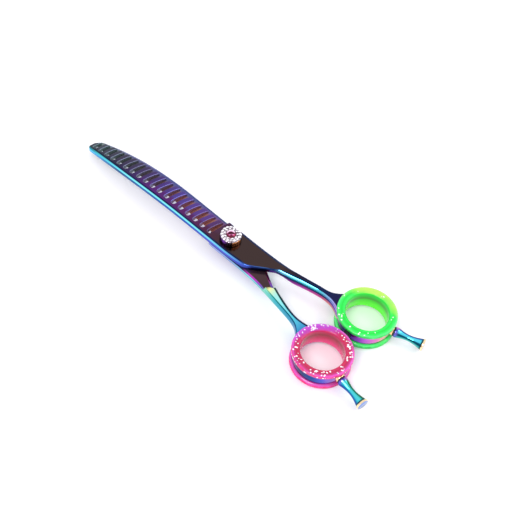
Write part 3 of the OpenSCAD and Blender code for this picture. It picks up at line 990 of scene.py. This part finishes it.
def make_flakes(name, centre, count, seed, material):
    """Small square glitter flakes just under the skin of an insert's flange."""
    rand = random.Random(seed)
    up = Vector((0, 0, 1))
    v, f = [], []
    for _ in range(count):
        a = math.radians(rand.uniform(0, 360))
        out = Vector((math.cos(a), math.sin(a), 0))
        side = up.cross(out)
        size = rand.choice([0.18, 0.24, 0.3, 0.38])
        spin = rand.uniform(0, math.tau)
        if rand.random() < 0.8:
            c = out * rand.uniform(10.4, 12.7) + up * 4.9
            normal = (up + out * rand.uniform(-0.12, 0.12)).normalized()
            first = side * math.cos(spin) + out * math.sin(spin)
        else:
            c = out * 13.3 + up * rand.uniform(3.9, 4.3)
            normal = out
            first = side * math.cos(spin) + up * math.sin(spin)
        second = normal.cross(first)
        base = len(v)
        for level in (-0.03, 0.02):
            for s, t in ((-1, -1), (1, -1), (1, 1), (-1, 1)):
                v.append(tuple(c + first * s * size + second * t * size * 0.8
                               + normal * level))
        f += [[base + i for i in q] for q in ((3, 2, 1, 0), (4, 5, 6, 7), (0, 1, 5, 4),
                                              (1, 2, 6, 5), (2, 3, 7, 6), (3, 0, 4, 7))]
    return mesh_object(name, v, f, [material], sharp=20, place=placed(centre))


def axial(centre, direction):
    """Places a lathe so that its axis runs outwards from a ring's centre."""
    return placed(centre, direction) @ Matrix.Rotation(math.pi / 2, 4, "Y")


def make_rest(name, centre, direction, material):
    """A turned finger rest: a stud in the boss, a waisted body and an end disc."""
    start, end = BOSS_END + 0.6, REST_REACH
    body = curve_through([(2.38, start + 0.3), (2.25, start + 1.2), (1.8, start + 2.8),
                          (1.4, start + 5.4), (1.45, start + 7.8), (1.85, start + 10),
                          (2.5, end - 1.05)], 0.35)
    profile = ([(0, 11.6), (1.2, 11.6), (1.2, start), (2.25, start)] + body
               + [(2.8, end - 0.75), (2.85, end - 0.6), (2.85, end - 0.35), (2.6, end - 0.05),
                  (2.5, end), (0, end)])
    v, f = lathe(profile, 72)
    return mesh_object(name, v, f, [material], sharp=35, place=axial(centre, direction))


# ---- dial and stones ----


def make_dial(material):
    """Fluted knob, hollow below, with a bore over the screw's end."""
    flutes, steps, depth = 24, 10, 0.12
    n = flutes * steps
    grooves = [depth * max(0, math.sin((i % steps) / steps * math.tau)) ** 1.5
               for i in range(n)]
    rows = [(2.62, 4.75, 1), (2.85, 5, 1), (4.7, 5, 1), (5.0, 4.94, 1), (5.2, 4.8, 0.6),
            (DIAL_TOP, 4.68, 0), (5.36, 4.55, 0), (DIAL_TOP, 4.4, 0), (DIAL_TOP, 3.3, 0),
            (DIAL_TOP, 2.2, 0), (5.2, 2.03, 0), (3.9, 2.03, 0), (3.9, 4.2, 0), (2.62, 4.4, 0)]
    v, f = [], []
    for k, (z, radius, share) in enumerate(rows):
        for i, groove in enumerate(grooves):
            a = math.tau * i / n
            r = radius - groove * share
            v.append((r * math.cos(a), r * math.sin(a), z))
        after = (k + 1) % len(rows)
        f += band(range(k * n, (k + 1) * n), range(after * n, (after + 1) * n))
    return mesh_object("dial_body", v, f, [material], sharp=32)


def make_bed(material):
    """Bright domed plate that the stones are set in."""
    v, f = lathe([(0, 5.84), (2.2, 5.84), (3.3, 5.8), (4.1, 5.62), (4.6, 5.42), (4.68, 5.32),
                  (4.6, DIAL_TOP), (0, DIAL_TOP)], 72)
    return mesh_object("stone_bed", v, [q[::-1] for q in f], [material], sharp=40)


def cut_stone(r, turn):
    """Points and facets of a brilliant cut: table, crown, girdle and pavilion."""
    sides, depth = 8, r * 1.2
    v, f = [], [list(range(sides))]
    for radius, height, half in ((0.45, 0.36, 0), (0.78, 0.23, 0.5), (1, 0.03, 0),
                                 (1, -0.03, 0)):
        for i in range(sides):
            a = turn + math.tau * (i + half) / sides
            v.append((radius * r * math.cos(a), radius * r * math.sin(a), height * depth))
    v.append((0, 0, -0.5 * depth))
    for i in range(sides):
        j = (i + 1) % sides
        a, b, c, d, tip = (k * sides for k in range(5))
        f += [[a + i, b + i, a + j], [b + i, c + j, b + j, a + j], [b + i, c + i, c + j],
              [c + i, d + i, d + j, c + j], [d + i, tip, d + j]]
    return v, f


def make_stones(name, count, row_r, r, lift, tilt, material):
    """A row of stones, each turned its own way and leaning outwards by about tilt."""
    v, f = [], []
    for i in range(count):
        a = math.tau * i / count
        stone, facets = cut_stone(r, 0.9 * i)
        lean = math.radians(tilt + 5 * math.sin(2.4 * i))
        turn = Matrix.Rotation(a, 3, "Z") @ Matrix.Rotation(lean, 3, "Y")
        spot = Vector((row_r * math.cos(a), row_r * math.sin(a), lift))
        f += [[len(v) + k for k in q] for q in facets]
        v += [tuple(turn @ Vector(p) + spot) for p in stone]
    return mesh_object(name, v, f, [material], sharp=1)


def make_claws(material):
    """Small beads that hold the stones."""
    bead, quads = lathe([(0, -0.3), (0.2, -0.3), (0.2, 0.05), (0.12, 0.17), (0, 0.2)], 10)
    v, f = [], []
    for count, row_r, lift in ((16, 4.5, 5.5), (16, 3.45, 5.92), (10, 2.5, 6.0)):
        for i in range(count):
            a = math.tau * (i + 0.5) / count
            f += [[len(v) + k for k in q] for q in quads]
            v += [(x + row_r * math.cos(a), y + row_r * math.sin(a), z + lift)
                  for x, y, z in bead]
    return mesh_object("stone_claws", v, f, [material], sharp=40)


# ---- the scene ----


def make_pieces():
    """Makes the detailed pieces, gives each its body and hides the CAD node that it stands in for.
    """
    flake = simple("glitter_flake", (250, 236, 250), (255, 255, 255), 800, (0.05, 0.2), 0.3)
    bright = simple("cup_metal", (176, 160, 176), (226, 218, 228), 900, (0.1, 0.2), 1)
    clear = clear_crystal()
    pieces = [
        (make_toothed_half(), "toothed_side", "toothed_half", "toothed_steel"),
        (make_plain_half(), "plain_side", "plain_half", "plain_steel"),
        (make_insert("green_insert_soft", GREEN_RING, green_silicone()),
         "toothed_side", "green_insert", "green_silicone"),
        (make_insert("pink_insert_soft", PINK_RING, pink_silicone()),
         "plain_side", "pink_insert", "pink_silicone"),
        (make_flakes("green_flakes", GREEN_RING, 22, 5, flake),
         "toothed_side", None, "green_silicone"),
        (make_flakes("pink_flakes", PINK_RING, 120, 8, flake),
         "plain_side", None, "pink_silicone"),
        (make_rest("green_rest_turned", GREEN_RING, GREEN_REST, green_rest_coat()),
         "toothed_side", "green_finger_rest", "rest_steel"),
        (make_rest("pink_rest_turned", PINK_RING, PINK_REST, pink_rest_coat()),
         "plain_side", "pink_finger_rest", "rest_steel"),
        (make_dial(dial_metal()), "dial", "tension_dial", "dial_metal"),
        (make_stones("centre_stone", 1, 0, 2.4, 6.05, 0, rose_crystal()),
         "dial", "centre_crystal", "pink_stone"),
        (make_stones("inner_stones", 10, 2.95, 0.56, 6.1, 6, clear),
         "dial", "inner_crystals", "clear_stone"),
        (make_stones("outer_stones", 16, 4.12, 0.77, 5.82, 22, clear),
         "dial", "outer_crystals", "clear_stone"),
        (make_bed(bright), "dial", "jewel_cup", "cup_metal"),
        (make_claws(bright), "dial", None, "cup_metal"),
    ]
    for piece, body, node, slot in pieces:
        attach(piece, body)
        if node:
            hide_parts(node)


def paint_kept_nodes():
    """Materials for the CAD nodes that stay as they are."""
    rubber = simple("black_rubber", (26, 26, 30), (44, 44, 50), 700, (0.5, 0.7))
    screw = simple("screw_steel", (90, 84, 112), (130, 120, 150), 900, (0.2, 0.35), 1)
    spring = simple("spring_steel", (150, 150, 154), (190, 190, 194), 900, (0.25, 0.4), 1)
    bronze = simple("bronze", (150, 104, 60), (196, 140, 84), 900, (0.3, 0.45), 1)
    nylon = simple("nylon", (222, 216, 204), (238, 234, 226), 700, (0.4, 0.6))
    kept = {"pivot_screw": screw, "pivot_bushing": bronze, "glide_washer": nylon,
            "nylon_washer": nylon, "spring_washer": spring, "click_plate": spring,
            "green_rest_washer": rubber, "pink_rest_washer": rubber, "ring_bumper": rubber}
    for node, material in kept.items():
        mesh = frame["nodes"][node].data
        mesh.materials.clear()
        mesh.materials.append(material)


def make_floor():
    size = 1.2
    mesh = bpy.data.meshes.new("floor")
    mesh.from_pydata([(-size, -size, 0), (size, -size, 0), (size, size, 0), (-size, size, 0)], [],
                     [(0, 1, 2, 3)])
    m = Material("floor_white", Roughness=0.7)
    m.colour_from(m.ramp(m.noise(3, 1), [(0.3, (247, 246, 250)), (0.7, (249, 248, 251))]))
    m.shader.inputs["Specular IOR Level"].default_value = 0.2
    mesh.materials.append(m.made)
    add("floor", mesh)


def make_light():
    world = bpy.data.worlds.new("studio")
    bpy.context.scene.world = world
    world.use_nodes = True
    background = world.node_tree.nodes["Background"]
    background.inputs["Color"].default_value = (0.985, 0.98, 1.0, 1)
    for name, place, size, power in (("key", (-0.1, 0.5, 0.7), 0.35, 3.0),
                                     ("fill", (-0.5, -0.5, 0.6), 0.5, 1.9)):
        light = bpy.data.lights.new(name, "AREA")
        light.size = size
        light.energy = power
        lamp = add(name, light)
        lamp.location = place
        lamp.rotation_mode = "QUATERNION"
        lamp.rotation_quaternion = (-Vector(place)).to_track_quat("-Z", "Y")


def make_camera():
    """The photograph's view: a long lens, high above the finger rests' side."""
    data = bpy.data.cameras.new("camera")
    data.lens = 65.87
    data.clip_start, data.clip_end = 0.01, 10
    camera = add("camera", data)
    right = Vector((-0.72575, -0.68134, 0.0952))
    down = Vector((-0.58292, 0.53552, -0.61108))
    ahead = Vector((0.36537, -0.49899, -0.78582))
    turn = Matrix((right, -down, -ahead)).transposed().to_4x4()
    spot = Matrix.Translation(Vector((-169.97, 208.79, 333.02)) * MM)
    camera.matrix_world = ROW @ spot @ turn
    bpy.context.scene.camera = camera


bpy.context.scene.view_settings.view_transform = "Standard"
make_camera()
make_light()
make_floor()
make_pieces()
paint_kept_nodes()
